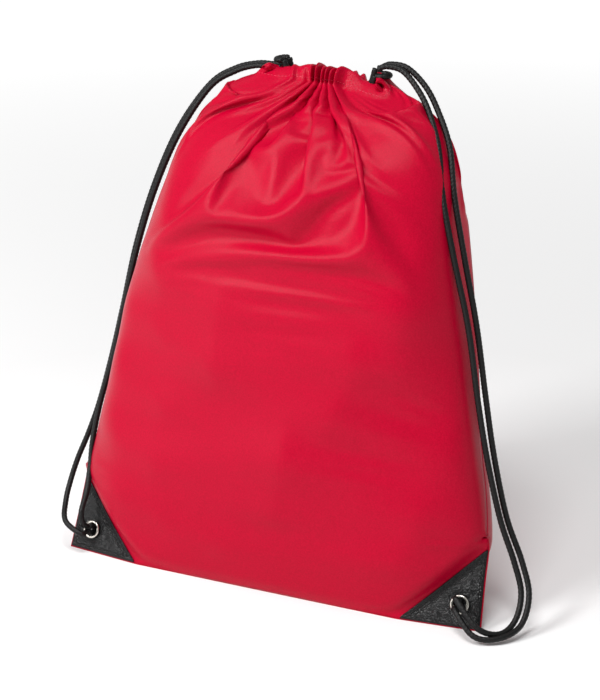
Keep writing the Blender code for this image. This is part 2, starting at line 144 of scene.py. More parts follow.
# ---------------------------------------------------------------- the mouth's pleats
# The cord's way through each tunnel, left exit to right exit: right of, outward from and above the mouth's middle.
FRONT_MOUTH = [
    (-0.0355, 0.0000, 0.0000), (-0.0460, 0.0030, -0.0005), (-0.0540, 0.0090, -0.0020), (-0.0500, 0.0140, -0.0030),
    (-0.0360, 0.0155, -0.0035), (-0.0220, 0.0130, -0.0035), (-0.0120, 0.0085, -0.0040), (0.0000, 0.0070, -0.0050),
    (0.0110, 0.0080, -0.0050), (0.0210, 0.0120, -0.0070), (0.0340, 0.0150, -0.0100), (0.0450, 0.0135, -0.0110),
    (0.0490, 0.0080, -0.0080), (0.0440, 0.0030, -0.0030), (0.0355, 0.0000, 0.0000),
]  # fmt: skip
BACK_MOUTH = [
    (-0.0355, 0.0000, 0.0000), (-0.0420, 0.0040, -0.0030), (-0.0430, 0.0090, -0.0070), (-0.0340, 0.0115, -0.0095),
    (-0.0160, 0.0090, -0.0110), (0.0000, 0.0080, -0.0115), (0.0160, 0.0090, -0.0110), (0.0340, 0.0115, -0.0095),
    (0.0430, 0.0090, -0.0050), (0.0420, 0.0040, -0.0020), (0.0355, 0.0000, 0.0000),
]  # fmt: skip
# Where the valleys between the pleats lie, right of the mouth's middle, and how far each pleat stands out.
FRONT_VALLEYS = [-0.0280, -0.0215, -0.0135, -0.0085, -0.0038, 0.0005, 0.0046, 0.0092, 0.0145]
FRONT_DEPTHS = [0.0030, 0.0020, 0.0100, 0.0110, 0.0090, 0.0110, 0.0105, 0.0085]
BACK_VALLEYS = [-0.0330, -0.0250, -0.0180, -0.0110, -0.0040, 0.0030, 0.0110, 0.0180, 0.0250, 0.0330]
BACK_DEPTHS = [0.0050, 0.0065, 0.0055, 0.0075, 0.0070, 0.0060, 0.0075, 0.0060, 0.0050]
VALLEY_CLEAR = 0.0026  # from the cord's middle to the fabric in a valley


class Mouth:
    """Half of the mouth: its stitch line, the cord's way, and the outward and upward directions."""

    def __init__(self, front, count):
        points, valleys, depths = (
            (FRONT_MOUTH, FRONT_VALLEYS, FRONT_DEPTHS) if front else (BACK_MOUTH, BACK_VALLEYS, BACK_DEPTHS)
        )
        outward = -1.0 if front else 1.0
        base = catmull(points, 90)
        base = along(base, np.linspace(0, 1, 1500))
        ahead = np.gradient(base, axis=0)
        ahead /= np.linalg.norm(ahead[:, :2], axis=1, keepdims=True)
        normal = np.column_stack([-ahead[:, 1], ahead[:, 0], np.zeros(len(base))])
        x, middle = base[:, 0], base[:, 1] > 0.0065
        offset, swing = np.zeros(len(base)), np.zeros(len(base))
        for a, b, depth in zip(valleys, valleys[1:], depths):
            inside = (x >= a) & (x < b) & middle
            t = (x[inside] - a) / (b - a)
            offset[inside] = depth * (0.5 - 0.5 * np.cos(2 * np.pi * t))
            swing[inside] = -0.30 * min(b - a, 0.011) * np.sin(2 * np.pi * t) * min(1.0, depth / 0.009)
        travel = np.linspace(0, 1, len(base)) * run_lengths(base)[-1]
        ends = smoothstep(np.minimum(travel, travel[-1] - travel) / 0.006)
        lean = (0.35 + 0.85 * smoothstep((abs(x - 0.001) - 0.012) / 0.016)) * ends
        vertical = np.array([0.0, 0.0, 1.0])
        face, up = normal + vertical * lean[:, None], vertical - normal * lean[:, None]
        face /= np.linalg.norm(face, axis=1, keepdims=True)
        up /= np.linalg.norm(up, axis=1, keepdims=True)
        line = base + face * ((offset + VALLEY_CLEAR) * ends)[:, None] + ahead * swing[:, None]
        flare = 1 - smoothstep(np.minimum(travel, travel[-1] - travel) / 0.014)
        everything = np.column_stack([line, base, face, up, offset, ends, flare])
        lengths = run_lengths(line)
        want = np.linspace(0, lengths[-1], count)
        placed = np.stack([np.interp(want, lengths, column) for column in everything.T], axis=-1)
        flip = np.array([1.0, outward, 1.0])
        shift = np.array([MOUTH_X, MOUTH_Y, TOP_Z + 0.001])
        self.line, self.base = placed[:, 0:3] * flip + shift, placed[:, 3:6] * flip + shift
        self.face, self.up = placed[:, 6:9] * flip, placed[:, 9:12] * flip
        self.offset, self.ends, self.flare = placed[:, 12], placed[:, 13], placed[:, 14]
        self.length = lengths[-1]


# ---------------------------------------------------------------- cloth: the shape it starts from
def section(seam, centre, fullness, swell_from, count):
    """Points across a panel at one height, from the left seam to the right, evenly spaced along the fabric."""
    angle = np.linspace(-math.pi / 2, math.pi / 2, 241)
    across = np.sign(angle) * abs(np.sin(angle)) ** (2 / fullness)
    x = seam[0] * across
    inwards = seam[0] - abs(x)
    swell = abs(np.cos(angle)) ** (2 / fullness)
    swell *= smoothstep((inwards + swell_from - EAR - EAR_MARGIN) / EAR_FADE)
    flat_y = seam[1] - SWEEP * np.minimum(1.0, inwards / EAR)
    y = flat_y + (centre[1] - flat_y) * swell
    z = seam[2] + (centre[2] - seam[2]) * np.minimum(1.0, swell)
    lean = MOUTH_X * smoothstep(2 * seam[2] / TOP_Z - 1)
    line = np.stack([x + lean, FRONT_LINE_Y + y, z], axis=-1)
    return along(line, np.linspace(0, 1, count))


def start_shape(rows, half):
    """Cloth points [row, column, xyz]: columns 0..half are the front, left to right, the rest the back."""
    shares = np.linspace(0, 1, rows + 1)
    seams, backs = (along(catmull(line), shares) for line in (SEAM_LINE, BACK_LINE))
    front = catmull(FRONT_LINE)
    slack = 1 - CLOTH_L / run_lengths(front)[-1]  # the front's spare length lies above its belly
    fronts = along(front, shares - slack * (shares - smoothstep((shares - 0.55) / 0.45)))
    ends = [Mouth(front, half + 1).line for front in (True, False)]
    centres, fullness = (fronts, backs), (2.6, 3.0)
    cloth = np.zeros((rows + 1, 2 * half, 3))
    for r in range(rows + 1):
        v = shares[r]
        pair = []
        for centre, full, end in zip(centres, fullness, ends):
            line = section(seams[r], centre[r], full, CLOTH_L * v, half + 1)
            last = section(seams[-1], centre[-1], full, CLOTH_L, half + 1)
            pair.append(line + float(smoothstep((v - 0.70) / 0.30)) ** 1.5 * (end - last))
        front, back = pair
        cloth[r, : half + 1] = front
        cloth[r, half + 1 :] = back[1:-1][::-1]
    return cloth


# ---------------------------------------------------------------- cloth: constraints
def pull(p, w, a, b, rest, stretch, squash):
    """Moves the points p[a] and p[b] towards rest apart: hard when they are too far, softer when too near."""
    d = p[b] - p[a]
    length = np.sqrt(np.einsum("...i,...i->...", d, d)) + 1e-9
    off = (length - rest) / length
    off *= np.where(off > 0, stretch, squash)
    wa, wb = w[a], w[b]
    off /= np.maximum(wa + wb, 1e-9)
    d *= off[..., None]
    p[a] += d * wa[..., None]
    p[b] -= d * wb[..., None]


def pull_all(p, w, shift, rest, stretch, squash):
    """The same for every pair (row, column) and (row + 1, column + shift), all at once and half as hard."""
    far = np.roll(p, -shift, axis=1)[1:]
    d = far - p[:-1]
    length = np.sqrt(np.einsum("...i,...i->...", d, d)) + 1e-9
    off = (length - rest) / length
    off *= np.where(off > 0, stretch, squash)
    d *= (0.25 * off)[..., None]
    p[:-1] += d * w[:-1, :, None]
    p[1:] -= np.roll(d, shift, axis=1) * w[1:, :, None]


def lumps(x, z):
    """How far the crumpled stuffing falls back behind its smooth outline."""
    broad = np.sin(41 * x + 1.1) * np.cos(29 * z - 0.4) + 0.7 * np.sin(57 * x - 36 * z + 0.6)
    fine = 0.45 * np.sin(83 * x + 71 * z + 2.0) * np.cos(47 * x - 64 * z)
    return 0.0048 * (broad + fine)


class Cloth:
    def __init__(self, rows, half, p):
        self.rows, self.half, self.p = rows, half, p
        self.before = p.copy()
        v = np.linspace(0, 1, rows + 1)
        front_length, back_length = (Mouth(front, half + 1).length for front in (True, False))
        taper = smoothstep((v - 0.86) / 0.14)
        gather = np.ones((rows + 1, 2 * half))
        gather[:, :half] = (1 - taper[:, None] * (1 - front_length / CLOTH_W))
        gather[:, half:] = (1 - taper[:, None] * (1 - back_length / CLOTH_W))
        self.weft = CLOTH_W / half * gather
        self.warp = CLOTH_L / rows
        self.diagonal = np.sqrt(((self.weft[1:] + self.weft[:-1]) / 2) ** 2 + self.warp**2)
        column = np.arange(2 * half)
        from_side = CLOTH_W * np.minimum(column % half, (-column) % half) / half
        from_side, up = np.broadcast_arrays(from_side[None], CLOTH_L * v[:, None])
        self.from_side, self.up = from_side, up
        self.w = np.ones((rows + 1, 2 * half))
        self.w[0] = self.w[-1] = 0
        near = np.hypot(from_side - EYELET_IN, up - EYELET_IN) < 0.009
        self.w[near] = 0
        self.stiff = smoothstep((EAR + 0.006 - from_side - up) / 0.012)
        pleated = 0.25 * smoothstep((up - 0.925 * CLOTH_L) / (0.075 * CLOTH_L))
        self.held = np.maximum(0.3 * self.stiff, pleated) * self.w
        self.goal = start_shape(rows, half)
        pinned = self.w == 0
        self.p[pinned] = self.goal[pinned]
        self.pinned = pinned
        self.load = 1.0
        self.tables()

    def tables(self):
        """The stuffing's half-widths and depths at each height."""
        z = np.linspace(0, 0.36, 181)
        seam, front, back = (catmull(line) for line in (SEAM_LINE, FRONT_LINE, BACK_LINE))
        self.core_z = z
        self.core_x = np.interp(z, seam[:, 2], seam[:, 0])
        self.fuller = smoothstep((z - 0.275) / 0.035) * smoothstep((0.355 - z) / 0.02)
        self.core_seam = np.interp(z, seam[:, 2], seam[:, 1])
        self.core_front = np.interp(z, front[:, 2], front[:, 1])
        rising = back[:, 2] > 0.0001
        self.core_back = np.interp(z, back[rising, 2], back[rising, 1])

    def stuffing(self, tight):
        """How far out each point is, 1 at the stuffing's surface, and its offset from the middle."""
        x, y, z = (self.p[..., k] for k in range(3))
        a, seam, front, back, fuller = (
            np.interp(z, self.core_z, table)
            for table in (self.core_x, self.core_seam, self.core_front, self.core_back, self.fuller)
        )
        dx = x - MOUTH_X * smoothstep(2 * z / TOP_Z - 1)
        a = a + 0.005 * fuller
        dy = y - FRONT_LINE_Y - seam
        hollow = HOLLOW * smoothstep((z - 0.235) / 0.07) * np.exp(-((dx / 0.055) ** 2))
        b = np.where(dy < 0, (seam - front) * tight - 0.001 - hollow, (back - seam) * 0.96)
        uneven = np.where(dy < 0, -1.0, 0.6) * lumps(x, z)
        b = b + uneven * smoothstep((0.34 - z) / 0.10) * smoothstep((z - 0.01) / 0.05)
        r = (abs(dx / (a * (tight + 0.02))) ** 2.6 + abs(dy / np.maximum(b, 0.002)) ** 2.6) ** (1 / 2.6)
        return r, dx, dy, a

    def push_out(self, tight):
        """Keeps the fabric outside the stuffing."""
        z = self.p[..., 2]
        r, dx, dy, a = self.stuffing(tight)
        ear = smoothstep((self.from_side + self.up - EAR - EAR_MARGIN) / EAR_FADE)
        fade = smoothstep((0.352 - z) / 0.03) * ear * self.w
        fade *= np.where(dy < 0, 1.0, smoothstep((z - 0.02) / 0.03))
        inside = (r < 1) & (z > 0.004)
        grow = np.where(inside, np.minimum(1 / np.maximum(r, 0.2), 1.6) - 1, 0) * fade * 0.5
        grow *= np.minimum(1.0, 0.001 / np.maximum(np.hypot(dx, dy) * grow, 1e-9))
        self.p[..., 0] += dx * grow
        self.p[..., 1] += dy * grow
        wide = np.maximum(abs(dx) - a - 0.0015, 0) * smoothstep((0.350 - z) / 0.02)
        wide = wide * smoothstep((self.up - EAR) / 0.06) * self.w
        self.p[..., 0] -= np.sign(dx) * 0.5 * wide
        self.load = np.clip((1.05 - r) / 0.04, -0.5, 1.0)
        base = (z < 0.05) & (dy > -0.01)
        self.load[base] = np.maximum(self.load[base], 0.7)

    def normals(self):
        p = self.p
        across = np.roll(p, -1, axis=1) - np.roll(p, 1, axis=1)
        up = np.empty_like(p)
        up[1:-1] = p[2:] - p[:-2]
        up[0], up[-1] = p[1] - p[0], p[-1] - p[-2]
        return np.cross(across, up)  # its length is about four times a cell's area

    def relax(self, steps, pressure, gravity, tight, bend, inner=6):
        p, w, half = self.p, self.w, self.half
        area = 4 * self.warp * CLOTH_W / half
        soft = 0.35
        for step in range(steps):
            speed = (p - self.before) * 0.90
            self.before = p.copy()
            push = self.normals() / area
            load = smoothstep((0.362 - p[..., 2]) / 0.06) * self.load
            force = push * (pressure * load)[..., None]
            force[..., 2] -= gravity * (1 - np.clip(self.load, 0, 1))  # the stuffing's grip carries the rest
            p += (speed + force) * w[..., None]
            for _ in range(inner):
                for first in (0, 1):
                    a, b = slice(first, self.rows, 2), slice(first + 1, self.rows + 1, 2)
                    pull(p, w, (a,), (b,), self.warp, 1.0, soft)
                even_a, even_b = (slice(None), slice(0, None, 2)), (slice(None), slice(1, None, 2))
                pull(p, w, even_a, even_b, self.weft[:, 0::2], 1.0, soft)
                odd_a, odd_b = (slice(None), slice(1, -1, 2)), (slice(None), slice(2, None, 2))
                pull(p, w, odd_a, odd_b, self.weft[:, 1:-1:2], 1.0, soft)
                pull(p, w, (slice(None), -1), (slice(None), 0), self.weft[:, -1], 1.0, soft)
                pull_all(p, w, 1, self.diagonal, 0.5, 0.12)
                pull_all(p, w, -1, np.roll(self.diagonal, -1, axis=1), 0.5, 0.12)
            self.bend(bend)
            self.push_out(tight)
            p[..., 2] = np.maximum(p[..., 2], 0.0006)
            self.part_layers()
            p += (self.goal - p) * self.held[..., None]
            p[self.pinned] = self.goal[self.pinned]

    def bend(self, amount):
        """Draws each point towards its neighbours' middle: little in the fabric, more in the corners."""
        p = self.p
        half = self.half
        firm = 0.10 * smoothstep((0.24 - self.up) / 0.20)
        k = np.minimum(amount + firm + 0.5 * self.stiff, 0.5) * self.w
        flat = (np.roll(p, -1, axis=1) + np.roll(p, 1, axis=1)) / 2 - p
        crease = np.ones(2 * half)
        crease[[0, half]] = 0.0
        p += flat * (k * crease[None])[..., None]
        tall = (p[2:] + p[:-2]) / 2 - p[1:-1]
        p[1:-1] += tall * k[1:-1, :, None]

    def iron(self, steps):
        """Rounds off sharp creases that the solver leaves, fully at the bottom and little near the pleats."""
        p, half = self.p, self.half
        level = 1 - 0.85 * smoothstep((np.linspace(0, 1, self.rows + 1) - 0.42) / 0.22)
        for _ in range(steps):
            off = np.zeros_like(p)
            left, right = np.roll(p, 1, axis=1), np.roll(p, -1, axis=1)
            off[1:-1] = (p[2:] + p[:-2] + left[1:-1] + right[1:-1]) / 4 - p[1:-1]
            size = np.linalg.norm(off, axis=-1)
            amount = np.maximum(1 - SHARPEST / np.maximum(size, 1e-9), 0) * level[:, None] * self.w
            amount[:, [0, half]] *= 0.0
            p += off * (0.7 * amount)[..., None]

    def part_layers(self):
        """Keeps the back panel behind the front panel near the side seams and corners."""
        p, half = self.p, self.half
        reach = max(2, int(half * 0.22))
        for side in (0, 1):
            steps = np.arange(1, reach)
            if side == 0:
                front, back = steps, 2 * half - steps
            else:
                front, back = half - steps, half + steps
            gap = p[:, back, 1] - p[:, front, 1] - 0.0008
            short = np.minimum(gap, 0) / 2
            p[:, front, 1] += short * self.w[:, front]
            p[:, back, 1] -= short * self.w[:, back]


def doubled(p):
    """Twice as many rows and columns, on smooth curves through the old points."""
    wide = np.empty((p.shape[0], 2 * p.shape[1], 3))
    wide[:, 0::2] = p
    nearer = p + np.roll(p, -1, axis=1)
    further = np.roll(p, 1, axis=1) + np.roll(p, -2, axis=1)
    wide[:, 1::2] = (9 * nearer - further) / 16
    padded = np.concatenate([2 * wide[:1] - wide[1:2], wide, 2 * wide[-1:] - wide[-2:-1]])
    tall = np.empty((2 * wide.shape[0] - 1, wide.shape[1], 3))
    tall[0::2] = wide
    tall[1::2] = (9 * (padded[1:-2] + padded[2:-1]) - padded[:-3] - padded[3:]) / 16
    return tall


def make_cloth():
    rows, half = 42, 32
    cloth = Cloth(rows, half, start_shape(rows, half))
    cloth.relax(600, 5.0e-6, 1.2e-6, 0.97, 0.03)
    rows, half = 2 * rows, 2 * half
    cloth = Cloth(rows, half, doubled(cloth.p))
    cloth.relax(300, 1.2e-6, 3e-7, 0.97, 0.03)
    rows, half = 2 * rows, 2 * half
    cloth = Cloth(rows, half, doubled(cloth.p))
    cloth.iron(60)
    cloth.before = cloth.p.copy()
    cloth.relax(150, 3e-7, 8e-8, 0.97, 0.05)
    cloth.iron(8)
    return cloth


# ---------------------------------------------------------------- scene helpers
def link(obj):
    bpy.context.scene.collection.objects.link(obj)
    return obj


def grid_faces(rows, columns):
    index = np.arange(rows * columns).reshape(rows, columns)
    return np.stack([index[:-1, :-1], index[:-1, 1:], index[1:, 1:], index[1:, :-1]], axis=-1).reshape(-1, 4)


def mesh_object(name, points, faces, uv=None, smooth=True):
    mesh = bpy.data.meshes.new(name)
    mesh.from_pydata([tuple(q) for q in points], [], [tuple(int(i) for i in f) for f in faces])
    if uv is not None:
        layer = mesh.uv_layers.new(name="UVMap")
        loops = np.array([loop.vertex_index for loop in mesh.loops])
        layer.data.foreach_set("uv", np.asarray(uv, float)[loops].astype(np.float32).ravel())
    if smooth:
        mesh.shade_smooth()
    mesh.update()
    return link(bpy.data.objects.new(name, mesh))


def rows_of(points):
    """A grid of points as a flat list, with its faces turned so that they look out of the bag's front."""
    rows, columns = points.shape[:2]
    return points.reshape(-1, 3), grid_faces(rows, columns)


# ---------------------------------------------------------------- materials
def new_material(name):
    made = bpy.data.materials.new(name)
    made.use_nodes = True
    tree = made.node_tree
    shader = tree.nodes["Principled BSDF"]
    return made, tree, shader


def node(tree, kind, inputs=None, **settings):
    made = tree.nodes.new(kind)
    for key, value in settings.items():
        setattr(made, key, value)
    for key, value in (inputs or {}).items():
        if isinstance(value, bpy.types.NodeSocket):
            tree.links.new(value, made.inputs[key])
        else:
            made.inputs[key].default_value = value
    return made


def ramp(tree, source, stops):
    made = tree.nodes.new("ShaderNodeValToRGB")
    elements = made.color_ramp.elements
    while len(elements) < len(stops):
        elements.new(0.5)
    for element, (position, colour) in zip(elements, stops):
        element.position = position
        element.color = colour
    tree.links.new(source, made.inputs["Fac"])
    return made


def polyester():
    made, tree, shader = new_material("red_polyester_weave")
    coords = tree.nodes.new("ShaderNodeTexCoord")
    uv = coords.outputs["UV"]
    place = coords.outputs["Object"]
    weft = node(tree, "ShaderNodeTexWave", {"Vector": uv, "Scale": 380.0, "Distortion": 0.6, "Detail": 1.0},
                wave_type="BANDS", bands_direction="X")  # fmt: skip
    warp = node(tree, "ShaderNodeTexWave", {"Vector": uv, "Scale": 380.0, "Distortion": 0.6, "Detail": 1.0},
                wave_type="BANDS", bands_direction="Y")  # fmt: skip
    grain = node(tree, "ShaderNodeTexNoise", {"Vector": place, "Scale": 900.0, "Detail": 2.0})
    slub = node(tree, "ShaderNodeMapping", {"Vector": uv, "Scale": (18.0, 420.0, 1.0)})
    slubs = node(tree, "ShaderNodeTexNoise", {"Vector": slub.outputs[0], "Scale": 1.0, "Detail": 3.0})
    cloud = node(tree, "ShaderNodeTexNoise", {"Vector": place, "Scale": 14.0, "Detail": 3.0})
    colour = ramp(tree, grain.outputs["Fac"], [(0.25, (0.39, 0.000, 0.019, 1)), (0.75, (0.51, 0.001, 0.028, 1))])
    clouded = node(tree, "ShaderNodeMix", {0: cloud.outputs["Fac"]}, data_type="RGBA", blend_type="MULTIPLY")
    tree.links.new(colour.outputs[0], clouded.inputs[6])
    clouded.inputs[7].default_value = (0.94, 0.90, 0.90, 1)
    tree.links.new(clouded.outputs[2], shader.inputs["Base Color"])
    rough = node(tree, "ShaderNodeMapRange", {"Value": slubs.outputs["Fac"], "To Min": 0.27, "To Max": 0.30})
    tree.links.new(rough.outputs[0], shader.inputs["Roughness"])
    threads = node(tree, "ShaderNodeMath", {0: weft.outputs["Fac"], 1: warp.outputs["Fac"]}, operation="ADD")
    with_slubs = node(tree, "ShaderNodeMath", {0: slubs.outputs["Fac"], 1: 0.7, 2: threads.outputs[0]},
                      operation="MULTIPLY_ADD")  # fmt: skip
    bump = node(tree, "ShaderNodeBump", {"Height": with_slubs.outputs[0], "Strength": 0.22, "Distance": 0.0002})
    tree.links.new(bump.outputs[0], shader.inputs["Normal"])
    shader.inputs["Specular IOR Level"].default_value = 0.11
    return made


def leather():
    made, tree, shader = new_material("black_faux_leather_grain")
    place = tree.nodes.new("ShaderNodeTexCoord").outputs["Object"]
    cells = node(tree, "ShaderNodeTexVoronoi", {"Vector": place, "Scale": 900.0}, feature="DISTANCE_TO_EDGE")
    crease = node(tree, "ShaderNodeTexNoise", {"Vector": place, "Scale": 60.0, "Detail": 5.0, "Distortion": 1.4})
    stops = [(0.3, (0.002, 0.002, 0.0022, 1)), (0.7, (0.006, 0.006, 0.0065, 1))]
    colour = ramp(tree, crease.outputs["Fac"], stops)
    tree.links.new(colour.outputs[0], shader.inputs["Base Color"])
    rough = node(tree, "ShaderNodeMapRange", {"Value": crease.outputs["Fac"], "To Min": 0.16, "To Max": 0.32})
    tree.links.new(rough.outputs[0], shader.inputs["Roughness"])
    both = node(tree, "ShaderNodeMath", {0: crease.outputs["Fac"], 1: 2.5, 2: cells.outputs["Distance"]},
                operation="MULTIPLY_ADD")  # fmt: skip
    bump = node(tree, "ShaderNodeBump", {"Height": both.outputs[0], "Strength": 0.4, "Distance": 0.0014})
    tree.links.new(bump.outputs[0], shader.inputs["Normal"])
    shader.inputs["Specular IOR Level"].default_value = 0.30
    return made


def cord_material(name, dark, light):
    made, tree, shader = new_material(name)
    place = tree.nodes.new("ShaderNodeTexCoord").outputs["Object"]
    fibre = node(tree, "ShaderNodeTexNoise", {"Vector": place, "Scale": 1600.0, "Detail": 3.0})
    colour = ramp(tree, fibre.outputs["Fac"], [(0.3, dark), (0.72, light)])
    tree.links.new(colour.outputs[0], shader.inputs["Base Color"])
    bump = node(tree, "ShaderNodeBump", {"Height": fibre.outputs["Fac"], "Strength": 0.4, "Distance": 0.0003})
    tree.links.new(bump.outputs[0], shader.inputs["Normal"])
    shader.inputs["Roughness"].default_value = 0.42
    shader.inputs["Specular IOR Level"].default_value = 0.22
    return made


def nickel():
    made, tree, shader = new_material("nickel_polished")
    place = tree.nodes.new("ShaderNodeTexCoord").outputs["Object"]
    wear = node(tree, "ShaderNodeTexNoise", {"Vector": place, "Scale": 500.0, "Detail": 4.0})
    rough = node(tree, "ShaderNodeMapRange", {"Value": wear.outputs["Fac"], "To Min": 0.14, "To Max": 0.32})
    tree.links.new(rough.outputs[0], shader.inputs["Roughness"])
    colour = ramp(tree, wear.outputs["Fac"], [(0.3, (0.62, 0.59, 0.53, 1)), (0.7, (0.76, 0.73, 0.67, 1))])
    tree.links.new(colour.outputs[0], shader.inputs["Base Color"])
    shader.inputs["Metallic"].default_value = 1.0
    return made


POLYESTER, LEATHER, NICKEL = polyester(), leather(), nickel()
CORD = cord_material("black_braid", (0.003, 0.003, 0.003, 1), (0.012, 0.012, 0.012, 1))
BLACK_THREAD = cord_material("black_thread", (0.010, 0.010, 0.010, 1), (0.030, 0.030, 0.030, 1))
RED_THREAD = cord_material("red_thread", (0.55, 0.02, 0.06, 1), (0.75, 0.06, 0.12, 1))


def finish_piece(obj, body, surface, slot, *nodes):
    obj.data.materials.append(surface)
    if body:
        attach(obj, body)
    if nodes:
        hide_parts(*nodes)
    return obj


def thickened(obj, thickness, offset=-1.0):
    wall = obj.modifiers.new("thickness", "SOLIDIFY")
    wall.thickness = thickness
    wall.offset = offset
    return obj


# ---------------------------------------------------------------- corner frames, as in the CAD
def corner_frame(side):
    tip, up_point = Vector(SEAM_LINE[0]), Vector(SEAM_LINE[1])
    inwards = Vector((-EAR, -SWEEP, 0)).normalized()
    out = (up_point - tip).cross(inwards).normalized()
    up = inwards.cross(out)
    tip.y += FRONT_LINE_Y
    made = Matrix.Identity(4)
    for column, axis in enumerate((inwards, up, out)):
        made.col[column] = (*axis, 0)
    made.col[3] = (*tip, 1)
    return Matrix.Diagonal((side, 1, 1, 1)) @ made if side < 0 else made


def in_corner(side, x, y, out):
    return corner_frame(side) @ Vector((x, y, out))


# ---------------------------------------------------------------- panels
def panels_of(cloth):
    """The front's and the back's points [row, column from left to right]."""
    p, half = cloth.p, cloth.half
    front = p[:, : half + 1].copy()
    back = np.concatenate([p[:, :1], p[:, : half - 1 : -1]], axis=1)
    return front, back


def hem_rows(front, count):
    """The cord tunnel's outer face, from its stitch line over the top, and its inner face back down."""
    mouth = Mouth(front, count)
    x = mouth.base[:, 0]
    out = mouth.offset + VALLEY_CLEAR
    height = HEM_HEIGHT * (1 + 0.05 * np.sin(x * 310.0 + 1.0) + 0.04 * np.sin(x * 730.0))
    height = height * (1 - 0.55 * mouth.flare)  # lower where the cords come out

    def row(level, reach, opened):
        outwards = out * (mouth.ends + (1 - mouth.ends) * opened)
        inwards = -VALLEY_CLEAR * opened
        across = inwards + (outwards - inwards) * reach
        return mouth.base + mouth.face * across[:, None] + mouth.up * (height * level)[:, None]

    outer = [row(*q) for q in ((0.10, 1.00, 0.5), (0.24, 1.03, 1), (0.42, 1.05, 1), (0.60, 1.04, 1),
                               (0.76, 0.98, 1), (0.89, 0.86, 1), (0.97, 0.68, 1), (1.0, 0.48, 1))]  # fmt: skip
    inner = [row(*q) for q in ((1.0, 0.48, 1), (0.98, 0.22, 1), (0.92, 0.08, 1), (0.78, 0.0, 1), (0.55, 0.0, 1),
                               (0.30, 0.0, 1), (0.10, 0.02, 1))]  # fmt: skip
    return np.array(outer), np.array(inner)


def holed(points, uv, faces, radius):
    """Leaves out the faces round the eyelets and draws the edge of what is left to a circle."""
    centres = [np.array([EYELET_IN, EYELET_IN]), np.array([CLOTH_W - EYELET_IN, EYELET_IN])]
    points = points.copy()
    keep = np.ones(len(faces), bool)
    middle = uv[faces].mean(axis=1)
    for side, centre in zip((-1, 1), centres):
        keep &= np.hypot(*(middle - centre).T) > radius - 0.0006
        away = uv - centre
        distance = np.hypot(*away.T)
        near = distance < radius
        if near.any():
            flat = away[near] / np.maximum(distance[near], 1e-6)[:, None] * radius + centre
            across = flat[:, 0] if side < 0 else CLOTH_W - flat[:, 0]
            for i, a, b in zip(np.nonzero(near)[0], across, flat[:, 1]):
                inverse = corner_frame(side).inverted() @ Vector(points[i])
                points[i] = in_corner(side, a, b, inverse.z)
    return points, faces[keep]


def panel_piece(name, grid, front):
    outer, _ = hem_rows(front, grid.shape[1])
    full = np.concatenate([grid, outer])
    rows, columns = full.shape[:2]
    u = np.linspace(0, CLOTH_W, columns)
    over = CLOTH_L + HEM_CLOTH * np.arange(1, len(outer) + 1) / len(outer)
    v = np.r_[np.linspace(0, CLOTH_L, grid.shape[0]), over]
    uv = np.stack(np.meshgrid(u, v), axis=-1).reshape(-1, 2)
    points, faces = rows_of(full)
    if not front:
        faces = faces[:, ::-1]
    points, faces = holed(points, uv, faces, HOLE_R)
    used = np.unique(faces)
    renumber = -np.ones(len(points), int)
    renumber[used] = np.arange(len(used))
    obj = mesh_object(name, points[used], renumber[faces], uv[used])
    return thickened(obj, PANEL_WALL)


def hem_piece(name, front, count):
    _, inner = hem_rows(front, count)
    points, faces = rows_of(inner)
    if not front:
        faces = faces[:, ::-1]
    uv = np.stack(np.meshgrid(np.linspace(0, CLOTH_W, count), np.linspace(0, HEM_CLOTH, len(inner))), axis=-1)
    obj = mesh_object(name, points, faces, uv.reshape(-1, 2))
    return thickened(obj, PANEL_WALL)


class Surface:
    """A panel's points and outward normals, read at any place of its flat pattern."""

    def __init__(self, grid, front):
        self.grid = grid
        across = np.gradient(grid, axis=1)
        up = np.gradient(grid, axis=0)
        normal = np.cross(across, up)
        if not front:
            normal = -normal
        self.normal = normal / np.linalg.norm(normal, axis=-1, keepdims=True)

    def at(self, a, b, lift=0.0):
        """The point a from the left edge and b above the bottom seam, in metres of flat cloth."""
        rows, columns = self.grid.shape[0] - 1, self.grid.shape[1] - 1
        c = np.clip(np.asarray(a) / CLOTH_W * columns, 0, columns - 1e-6)
        r = np.clip(np.asarray(b) / CLOTH_L * rows, 0, rows - 1e-6)
        ci, ri = c.astype(int), r.astype(int)
        cf, rf = (c - ci)[..., None], (r - ri)[..., None]
        mix = lambda t: ((t[ri, ci] * (1 - cf) + t[ri, ci + 1] * cf) * (1 - rf)
                         + (t[ri + 1, ci] * (1 - cf) + t[ri + 1, ci + 1] * cf) * rf)  # fmt: skip
        normal = mix(self.normal)
        normal /= np.linalg.norm(normal, axis=-1, keepdims=True)
        return mix(self.grid) + normal * np.asarray(lift)[..., None], normal


